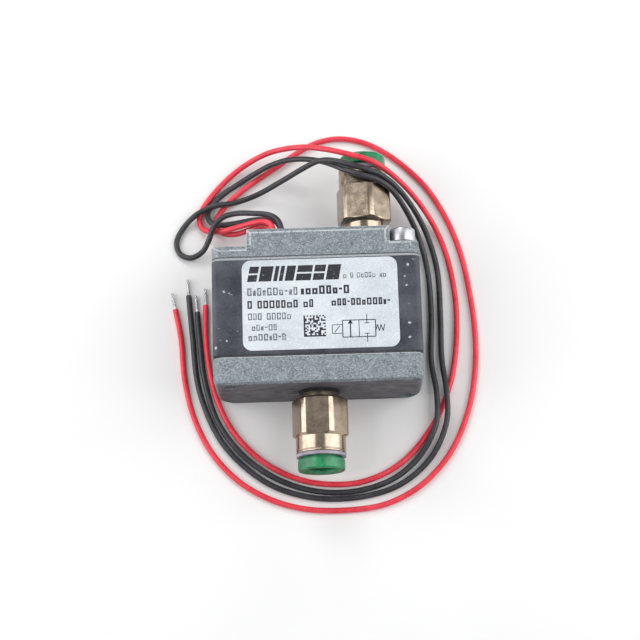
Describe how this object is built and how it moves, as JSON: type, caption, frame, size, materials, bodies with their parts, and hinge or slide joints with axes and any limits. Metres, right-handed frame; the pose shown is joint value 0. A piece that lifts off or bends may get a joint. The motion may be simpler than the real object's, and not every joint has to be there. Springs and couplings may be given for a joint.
{
  "type": "solenoid valve",
  "caption": "Fast-switching on-off shutter solenoid valve block: die-cast ends, moulded coil housing with a label, push-in tube fittings and flying leads.",
  "frame": {"origin": "centre of the back face, under the middle of the body", "axes": "+Z out of the label face, +Y towards the upper port, +X to the right as the label is read"},
  "size_m": [0.0872, 0.1109, 0.0241],
  "materials": {
    "casting": "sand-textured painted casting",
    "housing": "satin moulded black",
    "gasket": "matt",
    "label": "silver film with dark print",
    "screw": "bright zinc",
    "steel": "plain",
    "spring": "drawn wire",
    "brass": "turned",
    "nickel_brass": "nickel plated, turned",
    "collar": "green, glossy",
    "ring": "grey, satin",
    "seal": "matt",
    "coil_wire": "enamelled copper",
    "bobbin": "natural nylon",
    "lead_red": "red insulation",
    "lead_black": "black insulation",
    "tinned": "tinned strands"
  },
  "bodies": {
    "valve": {"base_plate": "casting", "coil_housing": "housing", "top_cover": "casting", "base_gasket": "gasket", "cover_gasket": "gasket", "label": "label", "tie_screw_front": "screw", "tie_screw_rear": "screw", "nozzles": "brass", "gallery_plug": "steel", "hinge_cushion": "seal", "wire_grommet": "seal", "return_spring_1": "spring", "core_1": "steel", "bobbin_1": "bobbin", "winding_1": "coil_wire", "return_spring_2": "spring", "core_2": "steel", "bobbin_2": "bobbin", "winding_2": "coil_wire", "return_spring_3": "spring", "core_3": "steel", "bobbin_3": "bobbin", "winding_3": "coil_wire", "return_spring_4": "spring", "core_4": "steel", "bobbin_4": "bobbin", "winding_4": "coil_wire", "upper_fitting_body": "nickel_brass", "upper_shoulder_seal": "seal", "upper_tube_seal": "seal", "upper_grip_ring": "steel", "upper_retaining_ring": "ring", "lower_fitting_body": "nickel_brass", "lower_shoulder_seal": "seal", "lower_tube_seal": "seal", "lower_grip_ring": "steel", "lower_retaining_ring": "ring", "lead_red_1": "lead_red", "lead_red_2": "lead_red", "lead_black_1": "lead_black", "lead_black_2": "lead_black", "lead_tips": "tinned"},
    "shutter_1": {"shutter_1": "steel", "shutter_pad_1": "seal"},
    "shutter_2": {"shutter_2": "steel", "shutter_pad_2": "seal"},
    "shutter_3": {"shutter_3": "steel", "shutter_pad_3": "seal"},
    "shutter_4": {"shutter_4": "steel", "shutter_pad_4": "seal"},
    "upper_collar": {"upper_release_collar": "collar"},
    "lower_collar": {"lower_release_collar": "collar"}
  },
  "joints": [
    {"name": "shutter_1_open", "type": "hinge", "parent": "valve", "child": "shutter_1", "pos_m": [-0.0156, -0.01183, 0.0032], "axis": [-1, 0, 0], "range_deg": [0, 2], "stiffness_Nm_per_rad": 0.02, "springref_deg": -11.46, "deforming": ["return_spring_1"]},
    {"name": "shutter_2_open", "type": "hinge", "parent": "valve", "child": "shutter_2", "pos_m": [-0.0052, -0.01183, 0.0032], "axis": [-1, 0, 0], "range_deg": [0, 2], "stiffness_Nm_per_rad": 0.02, "springref_deg": -11.46, "deforming": ["return_spring_2"]},
    {"name": "shutter_3_open", "type": "hinge", "parent": "valve", "child": "shutter_3", "pos_m": [0.0052, -0.01183, 0.0032], "axis": [-1, 0, 0], "range_deg": [0, 2], "stiffness_Nm_per_rad": 0.02, "springref_deg": -11.46, "deforming": ["return_spring_3"]},
    {"name": "shutter_4_open", "type": "hinge", "parent": "valve", "child": "shutter_4", "pos_m": [0.0156, -0.01183, 0.0032], "axis": [-1, 0, 0], "range_deg": [0, 2], "stiffness_Nm_per_rad": 0.02, "springref_deg": -11.46, "deforming": ["return_spring_4"]},
    {"name": "upper_collar_press", "type": "slide", "parent": "valve", "child": "upper_collar", "axis": [0, -1, 0], "range_m": [0, 0.00075], "stiffness_N_per_m": 600},
    {"name": "lower_collar_press", "type": "slide", "parent": "valve", "child": "lower_collar", "axis": [0, 1, 0], "range_m": [0, 0.00075], "stiffness_N_per_m": 600}
  ],
  "couplings": [
    {"joint": "shutter_2_open", "follows": "shutter_1_open", "ratio": 1},
    {"joint": "shutter_4_open", "follows": "shutter_3_open", "ratio": 1}
  ]
}
